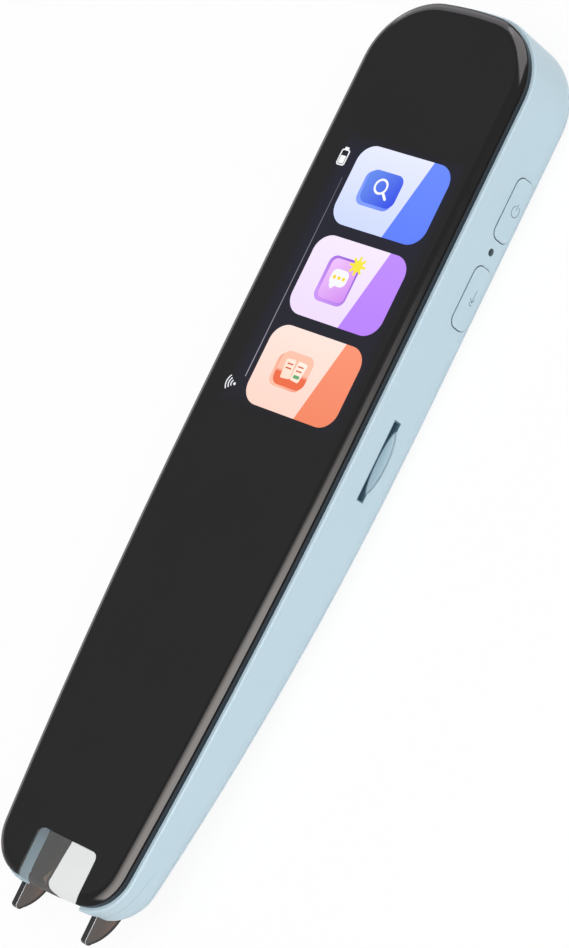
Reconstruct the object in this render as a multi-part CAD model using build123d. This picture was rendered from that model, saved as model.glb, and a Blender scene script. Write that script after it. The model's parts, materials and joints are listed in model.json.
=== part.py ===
from build123d import *
from math import sqrt
import os

# A handheld scanning pen, in millimetres. It lies on its back, with the cover glass up:
# +X is the side with the buttons, +Y points to the tail, and the back rests on z = 0.

# Whole body
body_length = 136.7
body_width = 30.1
body_depth = 14.8
foot_reach = 3.5              # how far the two feet stand out of the nose at rest
tail_crown = 1.7              # rise of the tail end over its corners
tail_corner_radius = 11.0
nose_crown = 1.1
nose_corner_radius = 7.0
taper_from_tail = 64.3        # from here the sides draw in towards the nose on an arc
side_draw_in = 3.09
belly_from_tail = 51.3        # from here the back rises towards the nose on an arc
nose_depth = 9.42             # body depth at the nose, under the rim of the glass
back_edge_radius = 4.2
wall = 1.4
rim_round = 0.3
overrun = 2.0                 # how far cuts run past what they cut

# Cover glass, its frame and the sight window
ledge = 0.6                   # shell that shows around the glass
glass_thickness = 1.1
bevel_width = 1.5
bevel_drop = 0.7
frame_height = 1.0
skirt_depth = 1.5
skirt_thickness = 0.5
frame_set_in = 0.05
window_margin = 9.15          # from the window's side to the body's side
window_length = 7.6           # from the glass's nose edge
window_corner = 1.0
window_gap = 0.05
window_tongue = 1.4           # part of the window under the black glass

# Shell seam
seam_height = 2.7
seam_gap = 0.1
lip_height = 1.2
lip_thickness = 0.8
lip_gap = 0.1
lip_root = 0.6
lip_rebate = 0.3              # groove in the band's inner face for the lip

# Nose mouth and feet
foot_margin = 7.55            # from a foot's outer face to the body's side
foot_thickness = 1.0
foot_drop = 4.4               # top of the feet below the top of the glass
foot_side_gap = 0.2
foot_top_gap = 0.2
foot_travel = 1.0
foot_tip_drop = 0.7           # foremost point of the tip, below the top
foot_tip_inset = 0.4
foot_tip_height = 1.5
foot_tip_back = 0.35
foot_belly_back = 1.9         # middle of the convex rear edge, behind the tip
foot_belly_drop = 3.4
foot_bottom_inset = 0.25      # feet above the back's outer curve
foot_heel_back = 2.2          # where the foot's rear arc ends, inside the nose
foot_inside_length = 14.0
mouth_length = 12.0
cheek_width = 2.4
bridge_length = 1.5
bridge_height = 1.1
stop_length = 1.0
stop_width = 0.8
stop_height = 1.6
stop_gap = 0.1

# Side features, measured from the tail and from the back
button_length = 9.3
button_height = 3.8
button_corner = 1.3
button_z = 5.2
button_gap = 0.15
button_proud = 0.15
button_travel = 0.3
button_flange = 0.8
button_margin = 0.5           # flange beyond the cap's ends
button_rise = 0.25            # flange beyond the cap's long sides
flange_gap = 0.05
button_tip_gap = 0.05
power_from_tail = 24.4
return_from_tail = 38.0
mic_from_tail = 31.0
mic_z = 5.6
mic_radius = 0.55
card_from_tail = 64.1
card_below_board = 1.05
card_slot_length = 11.9
card_slot_height = 1.25
card_slot_corner = 0.38
scoop_length = 10.4
scoop_depth = 1.0
scoop_height = 2.05

# Display
display_margin = 2.15         # from the display's side to the body's side
display_length = 49.7
display_thickness = 1.45
display_from_tail = 43.3
display_gap = 0.05
picture_margin = 1.55         # dark border at each side of the lit area
picture_length = 42.7
picture_lift = 0.03
flex_width = 9.0
flex_thickness = 0.15
flex_slot_gap = 0.6
flex_out = 1.2
flex_tail_length = 5.0

# Chassis
chassis_thickness = 1.1
chassis_gap = 0.1
boss_hole_stop = 0.28         # plate left over a screw hole
rest_depth = 0.8
rest_width = 1.5
boss_radius = 1.6
boss_hole_radius = 0.55

# Main board
board_thickness = 1.0
board_drop = 1.15             # board below the chassis
board_from_tail = 8.6
board_length = 65.5
board_inset = 1.2
screw_radius = 0.5
screw_head_radius = 1.3
screw_head_height = 0.6
screw_hole_radius = 0.75
screw_margin_near = 5.25      # from the screw to the body's side
screw_margin_far = 4.75
screw_tail_step = 4.0
screw_mid_step = 35.5
screw_nose_step = 63.0
can_size = 14.0
can_height = 1.6
can_wall = 0.25
can_corner = 0.8
can_from_tail = 48.0
can_x = -1.0
chip_height = 0.9
chip_long = 7.0
chip_short = 4.5
chip_left = 5.16
chip_step = 4.67
connector_width = 10.0
connector_depth = 2.4

# Battery
battery_margin = 6.25         # from the cell's side to the body's side
battery_corner = 1.2
battery_tail_gap = 2.0        # to the board
battery_nose_gap = 1.7        # to the camera
battery_floor_gap = 1.0
tape_thickness = 0.2
tape_margin = 2.0

# Camera and lights in the nose
camera_below_feet = 3.3       # lens axis below the top of the feet
chamber_wall = 1.2
chamber_length = 8.2
chamber_floor_gap = 0.3
lens_radius = 1.5
lens_front = 2.4
lens_back = 0.7
lens_glass_radius = 1.0
lens_gap = 0.15
lens_taper = 20
camera_width = 8.0
camera_length = 2.6
camera_height = 3.8
light_board_thickness = 0.8
light_board_height = 3.7
light_size = 1.6
light_height = 0.8
light_margin = 2.8            # from the light's middle to the mouth's wall
light_round = 0.2
ribbon_width = 1.4
ribbon_thickness = 0.15
ribbon_start = 2.0            # its end on the camera, from the middle
spring_radius = 0.75
spring_wire = 0.28
spring_turns = 6
spring_gap = 0.1
trigger_width = 2.4
trigger_length = 2.9
trigger_height = 1.3
trigger_margin = 0.9          # from its middle to the foot's inner face
trigger_pin_radius = 0.4
trigger_gap = 0.1

# Switches, microphone, card socket, port and speaker
switch_length = 4.4
switch_height = 2.9
switch_depth = 1.6
switch_pin_radius = 0.8
switch_pin_length = 0.5
switch_corner = 0.25
side_board_thickness = 0.8
side_board_margin = 0.3
mic_length = 3.4
mic_height = 2.6
mic_depth = 1.0
boot_wall = 0.6
boot_gap = 0.05
socket_depth = 13.8
socket_length = 13.2
socket_height = 1.85
socket_wall = 0.25
socket_inset = 0.3
port_width = 8.94
port_height = 3.2
port_corner = 1.54
port_length = 7.3
port_wall = 0.3
port_inset = 0.5
port_gap = 0.2
tongue_width = 6.6
tongue_height = 0.7
tongue_length = 5.6
speaker_length = 11.0
speaker_width = 15.0
speaker_thickness = 3.2
speaker_corner = 2.0
speaker_dome_radius = 4.0
speaker_dome_inset = 0.3
speaker_from_tail = 13.4
gasket_thickness = 0.4
gasket_width = 1.2
gasket_corner = 1.4
grille_hole_radius = 0.5
grille_pitch = 2.0
grille_columns = 5
grille_rows = 3

# Places worked out from the sizes above
tail_y = (body_length + foot_reach) / 2
nose_y = tail_y - body_length
half_width = body_width / 2
taper_y = tail_y - taper_from_tail
taper_length = body_length - taper_from_tail
side_taper_radius = (taper_length ** 2 + side_draw_in ** 2) / (2 * side_draw_in)
belly_y = tail_y - belly_from_tail
belly_length = body_length - belly_from_tail
belly_rise = body_depth - nose_depth
belly_radius = (belly_length ** 2 + belly_rise ** 2) / (2 * belly_rise)
glass_under = body_depth - glass_thickness
rim_z = glass_under - frame_height
inside_x = half_width - wall
foot_top = body_depth - foot_drop
foot_half = half_width - foot_margin
foot_inner = foot_half - foot_thickness
window_half = half_width - window_margin
mouth_half = foot_half + foot_side_gap
mouth_top = foot_top + foot_top_gap
mouth_back_y = nose_y + mouth_length
window_back_y = nose_y + ledge + window_length
display_width = body_width - 2 * display_margin
picture_width = display_width - 2 * picture_margin
display_y = tail_y - display_from_tail
display_z = glass_under - display_gap - display_thickness
chassis_top = display_z - chassis_gap
chassis_under = chassis_top - chassis_thickness
chassis_nose_y = mouth_back_y + stop_gap
board_z = chassis_under - board_drop - board_thickness
board_tail_y = tail_y - board_from_tail
board_nose_y = board_tail_y - board_length
power_y = tail_y - power_from_tail
return_y = tail_y - return_from_tail
mic_y = tail_y - mic_from_tail
card_y = tail_y - card_from_tail
card_z = board_z - card_below_board
camera_z = foot_top - camera_below_feet
light_x = mouth_half - light_margin
trigger_x = foot_inner - trigger_margin
ribbon_x = mouth_half + chamber_wall
screw_x_near = half_width - screw_margin_near
screw_x_far = half_width - screw_margin_far
chamber_back_y = chassis_nose_y + chamber_length
foot_back_y = nose_y + foot_inside_length
battery_half = half_width - battery_margin
battery_tail_y = board_nose_y - battery_tail_gap
battery_nose_y = chamber_back_y + camera_length + battery_nose_gap
flange_in_x = inside_x - flange_gap - button_flange
switch_tip_x = flange_in_x - button_travel - button_tip_gap
switch_x = switch_tip_x - switch_pin_length - switch_depth


def belly_z(y, inset):
    """Height of the back's curve at y, raised into the body by an inset."""
    radius = belly_radius - inset
    if y >= belly_y:
        return inset
    return inset + radius - sqrt(radius ** 2 - (y - belly_y) ** 2)


def box(low, high):
    """Box between two corners."""
    size = [b - a for a, b in zip(low, high)]
    middle = [(a + b) / 2 for a, b in zip(low, high)]
    return Pos(*middle) * Box(*size)


def body_outline(inset):
    """Plan view of the pen's shell, drawn in by an inset."""
    half = half_width - inset
    tail = tail_y - inset
    nose = nose_y + inset
    arc_radius = side_taper_radius - inset
    arc_x = half_width - side_taper_radius

    def side_x(y):
        return arc_x + sqrt(arc_radius ** 2 - (y - taper_y) ** 2)

    tail_corner_y = tail - tail_crown
    nose_corner_y = nose + nose_crown
    middle_y = (taper_y + nose_corner_y) / 2
    nose_half = side_x(nose_corner_y)
    edges = [
        ThreePointArc((-half, tail_corner_y), (0, tail), (half, tail_corner_y)),
        Line((half, tail_corner_y), (half, taper_y)),
        ThreePointArc((half, taper_y), (side_x(middle_y), middle_y), (nose_half, nose_corner_y)),
        ThreePointArc((nose_half, nose_corner_y), (0, nose), (-nose_half, nose_corner_y)),
        ThreePointArc((-nose_half, nose_corner_y), (-side_x(middle_y), middle_y), (-half, taper_y)),
        Line((-half, taper_y), (-half, tail_corner_y)),
    ]
    face = make_face(edges)
    ends = face.vertices().sort_by(Axis.Y)
    face = fillet([v for v in ends if v.Y > taper_y + wall], tail_corner_radius - inset)
    ends = face.vertices().sort_by(Axis.Y)
    return fillet(ends[:2], nose_corner_radius - inset)


def prism(inset, low_z, high_z):
    """The plan outline, drawn in by an inset, between two heights."""
    return Pos(0, 0, low_z) * extrude(body_outline(inset), high_z - low_z)


def below_belly(inset):
    """Everything under the back's curve raised by an inset."""
    past_tail = tail_y + overrun
    past_nose = nose_y - overrun
    middle = (belly_y + past_nose) / 2
    edges = [
        Line((past_tail, -overrun), (past_tail, inset)),
        Line((past_tail, inset), (belly_y, inset)),
        ThreePointArc((belly_y, inset), (middle, belly_z(middle, inset)),
                      (past_nose, belly_z(past_nose, inset))),
        Line((past_nose, belly_z(past_nose, inset)), (past_nose, -overrun)),
        Line((past_nose, -overrun), (past_tail, -overrun)),
    ]
    side = Plane(origin=(-half_width - overrun, 0, 0), x_dir=(0, 1, 0), z_dir=(1, 0, 0))
    return extrude(side * make_face(edges), body_width + 2 * overrun)


def body_block(inset, top):
    """The solid form of the shell, drawn in by an inset, up to a height."""
    block = prism(inset, -overrun / 2, top) - below_belly(inset)

    def on_belly(edge):
        ends = [edge.position_at(share / 4) for share in range(5)]
        return all(abs(p.Z - belly_z(p.Y, inset)) < rim_round / 4 for p in ends)

    def is_outer(edge):
        middle = edge.center()
        return abs(middle.X) > rim_round or abs(middle.Y - belly_y) > rim_round

    edges = [e for e in block.edges() if on_belly(e) and is_outer(e)]
    return fillet(edges, back_edge_radius - inset)


def capsule_x(y, z, length, height, corner, low_x, high_x):
    """A rounded bar that runs along X, as the side holes and buttons do."""
    plane = Plane(origin=(low_x, y, z), x_dir=(0, 1, 0), z_dir=(1, 0, 0))
    return extrude(plane * RectangleRounded(length, height, corner), high_x - low_x)


def rod_x(y, z, radius, low_x, high_x):
    plane = Plane(origin=(low_x, y, z), x_dir=(0, 1, 0), z_dir=(1, 0, 0))
    return extrude(plane * Circle(radius), high_x - low_x)


def rod_y(x, z, radius, low_y, high_y):
    plane = Plane(origin=(x, low_y, z), x_dir=(-1, 0, 0), z_dir=(0, 1, 0))
    return extrude(plane * Circle(radius), high_y - low_y)


def rod_z(x, y, radius, low_z, high_z):
    return Pos(x, y, low_z) * extrude(Circle(radius), high_z - low_z)


def window_prism(gap):
    """The notch for the sight window, widened by a gap."""
    half = window_half + gap
    back = window_back_y + gap
    front = nose_y - overrun
    plan = Pos(0, (front + back) / 2) * Rectangle(2 * half, back - front)
    plan = fillet(plan.vertices().group_by(Axis.Y)[-1], window_corner + gap)
    return Pos(0, 0, foot_top) * extrude(plan, body_depth)


def glass_block():
    """Cover glass before the notch: flat on top, with a curved edge."""
    round_radius = (bevel_width ** 2 + bevel_drop ** 2) / (2 * bevel_drop)
    spread = round_radius - bevel_width
    block = prism(ledge - spread, glass_under - round_radius, body_depth)
    block = fillet(block.faces().sort_by(Axis.Z)[-1].edges(), round_radius)
    return block & prism(ledge, glass_under, body_depth)


def front_glass():
    return glass_block() - window_prism(window_gap)


def sight_window():
    """Clear insert: its top carries on the glass's curve, and a tongue goes under the glass."""
    top = glass_block() & window_prism(0)
    base = prism(ledge, rim_z, glass_under) & window_prism(0)
    tongue_half = window_half - window_corner
    tongue = box((-tongue_half, window_back_y - window_corner, rim_z),
                 (tongue_half, window_back_y + window_tongue, glass_under - window_gap))
    return top + base + tongue


def glass_frame():
    """Dark frame under the glass edge, with a skirt that sits inside the shell."""
    outer = ledge + frame_set_in
    skirt_outer = wall + lip_gap
    inner = skirt_outer + skirt_thickness
    ring = prism(outer, rim_z, glass_under) - prism(inner, rim_z - overrun, body_depth)
    skirt = prism(skirt_outer, rim_z - skirt_depth, rim_z) - prism(inner, chassis_under, body_depth)
    cheek_reach = mouth_half + cheek_width
    skirt -= box((-cheek_reach, nose_y, 0), (cheek_reach, mouth_back_y + cheek_width, body_depth))
    notch_half = window_half + window_gap
    ring -= box((-notch_half, nose_y, 0), (notch_half, mouth_back_y, body_depth))
    return ring + skirt


def mouth():
    """Opening at the nose for the feet and the page, and its narrower part under the window."""
    wide = box((-mouth_half, nose_y - overrun, -overrun), (mouth_half, mouth_back_y, mouth_top))
    narrow = box((-window_half, nose_y - overrun, foot_top), (window_half, mouth_back_y, body_depth))
    return wide + narrow


def side_openings():
    """Holes and the fingernail scoop in the shell's sides."""
    past = half_width + overrun
    hole_length = button_length + 2 * button_gap
    hole_height = button_height + 2 * button_gap
    corner = button_corner + button_gap
    cuts = [capsule_x(y, button_z, hole_length, hole_height, corner, inside_x - wall, past)
            for y in (power_y, return_y)]
    cuts.append(rod_x(mic_y, mic_z, mic_radius, inside_x - wall, past))
    cuts.append(capsule_x(card_y, card_z, card_slot_length, card_slot_height,
                          card_slot_corner, inside_x - wall, past))
    scoop = scale(Sphere(1), by=(scoop_depth, scoop_length / 2, scoop_height))
    lower = box((-past, -past, -past), (past, past, 0))
    cuts.append(Pos(half_width, card_y, card_z) * (scoop & lower))
    cuts.append(port_hole())
    return cuts


def port_hole():
    """Rounded hole for the charging port in the tail."""
    port_z = board_z - port_height / 2
    plane = Plane(origin=(0, tail_y - 2 * wall - port_inset, port_z), x_dir=(-1, 0, 0),
                  z_dir=(0, 1, 0))
    shape = RectangleRounded(port_width + 2 * port_gap, port_height + 2 * port_gap,
                             port_height / 2)
    return extrude(plane * shape, 2 * wall + port_inset + overrun)


def whole_shell():
    """Both shell halves in one, hollow and open at the top."""
    outer = body_block(0, rim_z)
    outer = fillet(outer.faces().sort_by(Axis.Z)[-1].edges(), rim_round)
    return outer - body_block(wall, body_depth)


def cheeks():
    """Shell walls beside the sight window, over the feet."""
    high_x = mouth_half + cheek_width
    right = box((window_half, nose_y + wall / 2, mouth_top), (high_x, mouth_back_y, rim_z))
    return [right, mirror(right, Plane.YZ)]


def side_shell():
    """Band that forms the four sides, from the seam to the rim."""
    shell = whole_shell()
    inside = prism(wall / 2, 0, rim_z)
    for cheek in cheeks():
        shell += cheek & inside
    shell -= mouth()
    shell -= below_belly(seam_height + seam_gap)
    shell -= prism(wall - lip_rebate, 0, rim_z) & below_belly(seam_height + lip_height + lip_gap)
    for cut in side_openings():
        shell -= cut
    return shell


def rear_cover():
    """Dished back with a lip inside the band and a grille over the speaker."""
    cover = whole_shell() & below_belly(seam_height)
    lip_inset = wall - lip_rebate + lip_gap
    ring = prism(lip_inset, 0, body_depth) - prism(lip_inset + lip_thickness, 0, body_depth)
    band = below_belly(seam_height + lip_height) - below_belly(seam_height - lip_root)
    lip = ring & band
    reach = button_length / 2 + button_margin + button_travel
    for y in (power_y, return_y):
        lip -= box((inside_x - 2 * wall, y - reach, 0), (half_width, y + reach, body_depth))
    cover += lip
    cover -= mouth()
    speaker_y = tail_y - speaker_from_tail
    for column in range(grille_columns):
        for row in range(grille_rows):
            x = (column - (grille_columns - 1) / 2) * grille_pitch
            y = speaker_y + (row - (grille_rows - 1) / 2) * grille_pitch
            cover -= rod_z(x, y, grille_hole_radius, -overrun, wall + overrun)
    return cover


def side_button(y):
    """A button whose face follows the side, with a flange behind the wall."""
    face_block = body_block(-button_proud, rim_z)
    cap = face_block & capsule_x(y, button_z, button_length, button_height, button_corner,
                                 flange_in_x + button_flange / 2, half_width + overrun)
    flange = body_block(wall + flange_gap, rim_z) & capsule_x(
        y, button_z, button_length + 2 * button_margin, button_height + 2 * button_rise,
        button_corner, flange_in_x, inside_x)
    return cap + flange


def foot_plate(x):
    """One foot: a thin plate with a straight top and a convex rear edge outside the nose."""
    tip_y = nose_y - foot_reach
    heel_y = nose_y + foot_heel_back
    heel_z = belly_z(heel_y, foot_bottom_inset)
    tip_low = (tip_y + foot_tip_back, foot_top - foot_tip_height)
    arc_middle = (tip_y + foot_belly_back, foot_top - foot_belly_drop)
    step_y = mouth_back_y - foot_travel - foot_side_gap
    middle_y = (heel_y + step_y) / 2
    step_z = belly_z(step_y, wall + chamber_floor_gap)
    edges = [
        Line((foot_back_y, foot_top), (tip_y + foot_tip_inset, foot_top)),
        ThreePointArc((tip_y + foot_tip_inset, foot_top), (tip_y, foot_top - foot_tip_drop), tip_low),
        ThreePointArc(tip_low, arc_middle, (heel_y, heel_z)),
        ThreePointArc((heel_y, heel_z), (middle_y, belly_z(middle_y, foot_bottom_inset)),
                      (step_y, belly_z(step_y, foot_bottom_inset))),
        Line((step_y, belly_z(step_y, foot_bottom_inset)), (step_y, step_z)),
        Line((step_y, step_z), (foot_back_y, step_z)),
        Line((foot_back_y, step_z), (foot_back_y, foot_top)),
    ]
    plane = Plane(origin=(x, 0, 0), x_dir=(0, 1, 0), z_dir=(1, 0, 0))
    return extrude(plane * make_face(edges), foot_thickness)


def scan_foot():
    """Both feet, the bridge that joins them and the stops that hold them in."""
    foot = foot_plate(foot_inner) + foot_plate(-foot_half)
    reach = foot_half - foot_thickness / 2
    foot += box((-reach, foot_back_y - bridge_length, foot_top - bridge_height),
                (reach, foot_back_y, foot_top))
    for side in (1, -1):
        near = side * (foot_half - foot_thickness / 2)
        far = side * (foot_half + stop_width)
        foot += box((min(near, far), foot_back_y - stop_length, camera_z - stop_height / 2),
                    (max(near, far), foot_back_y, camera_z + stop_height / 2))
    return foot


def chassis():
    """Inner frame: display bed above, board bosses below, nose chamber for the camera."""
    top_inset = wall + lip_gap + skirt_thickness + chassis_gap
    plate = prism(top_inset, chassis_under, chassis_top)
    ring = prism(wall + lip_gap, rim_z - skirt_depth - rest_depth - chassis_gap,
                 rim_z - skirt_depth - chassis_gap)
    ring -= prism(wall + lip_gap + rest_width, 0, body_depth)
    frame = plate + ring
    past = half_width + overrun
    frame -= box((-past, nose_y - overrun, 0), (past, chassis_nose_y, body_depth))
    frame += chamber()
    slot_half = flex_width / 2 + flex_slot_gap
    slot_y = display_y - display_length / 2
    frame -= box((-slot_half, slot_y - flex_out - 3 * flex_slot_gap, 0),
                 (slot_half, slot_y - flex_slot_gap, body_depth))
    for x, y in screw_places():
        frame += rod_z(x, y, boss_radius, board_z + board_thickness, chassis_under)
        frame -= rod_z(x, y, boss_hole_radius, board_z, chassis_top - boss_hole_stop)
    return frame


def chamber():
    """Dark box behind the mouth: side walls guide the feet, the back wall carries the camera."""
    outer = mouth_half + chamber_wall
    block = box((-outer, chassis_nose_y, 0), (outer, chamber_back_y, chassis_under))
    block -= below_belly(wall + chamber_floor_gap)
    block -= box((-mouth_half, chassis_nose_y - overrun, 0),
                 (mouth_half, chamber_back_y - chamber_wall, chassis_under))
    block -= rod_y(0, camera_z, lens_radius + lens_gap, chassis_nose_y, chamber_back_y)
    slot_low = foot_back_y - stop_length - stop_gap
    block -= box((-outer, slot_low, camera_z - stop_height / 2 - stop_gap),
                 (outer, foot_back_y + foot_travel + stop_gap, camera_z + stop_height / 2 + stop_gap))
    return block


def screw_places():
    return [(screw_x_near, board_tail_y - screw_tail_step),
            (-screw_x_near, board_tail_y - screw_tail_step),
            (-screw_x_far, board_tail_y - screw_mid_step),
            (-screw_x_far, board_tail_y - screw_nose_step)]


def board_screws():
    """Four screws that hold the board to the chassis bosses."""
    screws = []
    for x, y in screw_places():
        head = rod_z(x, y, screw_head_radius, board_z - screw_head_height, board_z)
        shank = rod_z(x, y, screw_radius, board_z, chassis_under)
        screws.append(head + shank)
    return Compound(children=screws)


def main_board():
    inset = wall + board_inset
    past = half_width + overrun
    board = prism(inset, board_z, board_z + board_thickness)
    board &= box((-past, board_nose_y, 0), (past, board_tail_y, body_depth))
    for x, y in screw_places():
        board -= rod_z(x, y, screw_hole_radius, 0, body_depth)
    return board


def shield_can():
    """Pressed can over the processor, under the board."""
    y = tail_y - can_from_tail
    half = can_size / 2
    outer = box((can_x - half, y - half, board_z - can_height), (can_x + half, y + half, board_z))
    outer = fillet(outer.edges().filter_by(Axis.Z), can_corner)
    inner = box((can_x - half + can_wall, y - half + can_wall, board_z - can_height + can_wall),
                (can_x + half - can_wall, y + half - can_wall, board_z))
    return outer - inner


def board_parts():
    """Chips and connectors on the board's two faces."""
    top = board_z + board_thickness
    flex_y = display_y - display_length / 2 + flex_tail_length - connector_depth / 2
    ribbon_middle = ribbon_x + ribbon_width / 2
    places = [
        (-chip_left, tail_y - can_from_tail, chip_long, chip_long, top),
        (chip_long, tail_y - can_from_tail + chip_step, chip_short, chip_long, top),
        (-chip_long, board_tail_y - can_size, chip_long, chip_short, board_z - chip_height),
        (0, board_tail_y - can_size / 2, chip_short, chip_short, top),
        (0, flex_y, connector_width, connector_depth, top),
        (ribbon_middle, board_nose_y + connector_depth, connector_depth, connector_depth, top),
    ]
    parts = []
    for x, y, wide, long, low in places:
        parts.append(box((x - wide / 2, y - long / 2, low),
                         (x + wide / 2, y + long / 2, low + chip_height)))
    return Compound(children=parts)


def display_panel():
    """Display under the glass, with its lit area a hair proud."""
    half_x = display_width / 2
    half_y = display_length / 2
    panel = box((-half_x, display_y - half_y, display_z),
                (half_x, display_y + half_y, display_z + display_thickness))
    lit = box((-picture_width / 2, display_y - picture_length / 2, display_z),
              (picture_width / 2, display_y + picture_length / 2,
               display_z + display_thickness + picture_lift))
    return fillet(panel.edges().filter_by(Axis.Z), display_thickness / 2) + lit


def display_flex():
    """Flexible tail that bends from the display down to the board's connector."""
    start_y = display_y - display_length / 2
    top = display_z + flex_thickness + chassis_gap
    low = board_z + board_thickness + chip_height
    radius = (top - low) / 2
    bend_y = start_y - flex_out + radius
    outer = [
        Line((start_y, top), (bend_y, top)),
        ThreePointArc((bend_y, top), (bend_y - radius, top - radius), (bend_y, low)),
        Line((bend_y, low), (start_y + flex_tail_length, low)),
    ]
    in_radius = radius - flex_thickness
    in_top = top - flex_thickness
    in_low = low + flex_thickness
    inner = [
        Line((start_y + flex_tail_length, low), (start_y + flex_tail_length, in_low)),
        Line((start_y + flex_tail_length, in_low), (bend_y, in_low)),
        ThreePointArc((bend_y, in_low), (bend_y - in_radius, top - radius), (bend_y, in_top)),
        Line((bend_y, in_top), (start_y, in_top)),
        Line((start_y, in_top), (start_y, top)),
    ]
    plane = Plane(origin=(-flex_width / 2, 0, 0), x_dir=(0, 1, 0), z_dir=(1, 0, 0))
    return extrude(plane * make_face(outer + inner), flex_width)


def battery():
    """Flat cell in its pouch."""
    low = belly_z(battery_nose_y, wall) + battery_floor_gap
    cell = box((-battery_half, battery_nose_y, low),
               (battery_half, battery_tail_y, chassis_under - tape_thickness))
    return fillet(cell.edges().filter_by(Axis.Y), battery_corner)


def battery_tape():
    half = battery_half - tape_margin
    return box((-half, battery_nose_y + tape_margin, chassis_under - tape_thickness),
               (half, battery_tail_y - tape_margin, chassis_under))


def camera_module():
    """Sensor block behind the chamber's back wall."""
    half = camera_width / 2
    low = camera_z - camera_height / 2
    block = box((-half, chamber_back_y, low), (half, chamber_back_y + camera_length,
                                               chassis_under - ribbon_thickness))
    return block - rod_y(0, camera_z, lens_radius + lens_gap, chamber_back_y,
                         chamber_back_y + lens_back)


def camera_lens():
    """Lens barrel through the back wall, with its glass at the front."""
    wall_front = chamber_back_y - chamber_wall
    front = wall_front - lens_front
    barrel = rod_y(0, camera_z, lens_radius, front, chamber_back_y + lens_back)
    cone = Plane(origin=(0, front, camera_z), x_dir=(1, 0, 0), z_dir=(0, 1, 0))
    dish = extrude(cone * Circle(lens_radius - lens_gap), lens_front / 2, taper=lens_taper)
    glass = Pos(0, front + lens_front / 2 + lens_glass_radius / 2, camera_z) * Sphere(lens_glass_radius)
    return barrel - dish + (glass & rod_y(0, camera_z, lens_radius, front, chamber_back_y))


def camera_flex():
    """Thin ribbon from the camera along the chassis to the board."""
    high = chassis_under
    low = high - ribbon_thickness
    far = ribbon_x + ribbon_width
    across = box((-ribbon_start, chamber_back_y + camera_length - ribbon_width, low),
                 (far, chamber_back_y + camera_length, high))
    along = box((ribbon_x, chamber_back_y + camera_length - ribbon_width, low),
                (far, board_nose_y + 2 * connector_depth, high))
    return across + along


def light_board():
    """Small board on the chamber's back wall, around the lens."""
    back = chamber_back_y - chamber_wall
    half = mouth_half - lens_gap
    low = camera_z - light_board_height / 2
    board = box((-half, back - light_board_thickness, low),
                (half, back, low + light_board_height))
    return board - rod_y(0, camera_z, lens_radius + lens_gap, back - overrun, back + overrun)


def scan_lights():
    """Two lights beside the lens."""
    back = chamber_back_y - chamber_wall - light_board_thickness
    half = light_size / 2
    lights = []
    for side in (1, -1):
        x = side * light_x
        lamp = box((x - half, back - light_height, camera_z - half), (x + half, back, camera_z + half))
        lights.append(fillet(lamp.faces().sort_by(Axis.Y)[0].edges(), light_round))
    return Compound(children=lights)


def foot_spring():
    """Coil between the foot's bridge and the chamber's back wall, along Y."""
    low_y = foot_back_y + spring_wire / 2 + spring_gap
    high_y = chamber_back_y - chamber_wall - spring_wire / 2 - spring_gap
    height = high_y - low_y
    pitch = height / spring_turns
    path = Helix(pitch, height, spring_radius)
    section = Plane(origin=path @ 0, z_dir=path % 0) * Circle(spring_wire / 2)
    coil = sweep(section, path)
    print("foot spring: gap between turns", round(pitch - spring_wire, 2), "mm")
    return Pos(-trigger_x, low_y, foot_top - bridge_height / 2) * Rot(-90, 0, 0) * coil


def trigger_switch():
    """Switch that the foot's bridge works."""
    back = chamber_back_y - chamber_wall
    low_z = foot_top - trigger_height
    half = trigger_width / 2
    body = box((trigger_x - half, back - trigger_length, low_z), (trigger_x + half, back, foot_top))
    tip = foot_back_y + foot_travel + trigger_gap
    pin = rod_y(trigger_x, (low_z + foot_top) / 2, trigger_pin_radius, tip, back - trigger_length)
    return body + pin


def side_switch(y):
    """Small push switch on the side board, facing its button."""
    body = box((switch_x, y - switch_length / 2, button_z - switch_height / 2),
               (switch_x + switch_depth, y + switch_length / 2, button_z + switch_height / 2))
    body = fillet(body.edges().filter_by(Axis.X), switch_corner)
    return body + rod_x(y, button_z, switch_pin_radius, switch_x + switch_depth, switch_tip_x)


def side_board():
    """Upright board that carries the switches and the microphone."""
    low_y = return_y - button_length / 2
    high_y = power_y + button_length / 2
    low_z = button_z - switch_height / 2 - side_board_margin
    return box((switch_x - side_board_thickness, low_y, low_z), (switch_x, high_y, board_z))


def microphone():
    body = box((switch_x, mic_y - mic_length / 2, mic_z - mic_height / 2),
               (switch_x + mic_depth, mic_y + mic_length / 2, mic_z + mic_height / 2))
    return body - rod_x(mic_y, mic_z, mic_radius / 2, switch_x + mic_depth / 2, inside_x)


def mic_boot():
    """Rubber tube that leads the sound from the hole to the microphone."""
    low = switch_x + mic_depth
    high = inside_x - boot_gap
    tube = rod_x(mic_y, mic_z, mic_radius + boot_wall, low, high)
    return tube - rod_x(mic_y, mic_z, mic_radius, low - overrun, high + overrun)


def card_socket():
    """Folded metal socket behind the card slot, open to the side."""
    high_x = inside_x - socket_inset
    low_x = high_x - socket_depth
    low_z = card_z - socket_height / 2
    high_z = board_z
    half = socket_length / 2
    outer = box((low_x, card_y - half, low_z), (high_x, card_y + half, high_z))
    inner = box((low_x + socket_wall, card_y - half + 2 * socket_wall, low_z + socket_wall),
                (high_x + overrun, card_y + half - 2 * socket_wall, high_z - socket_wall))
    return outer - inner


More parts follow.
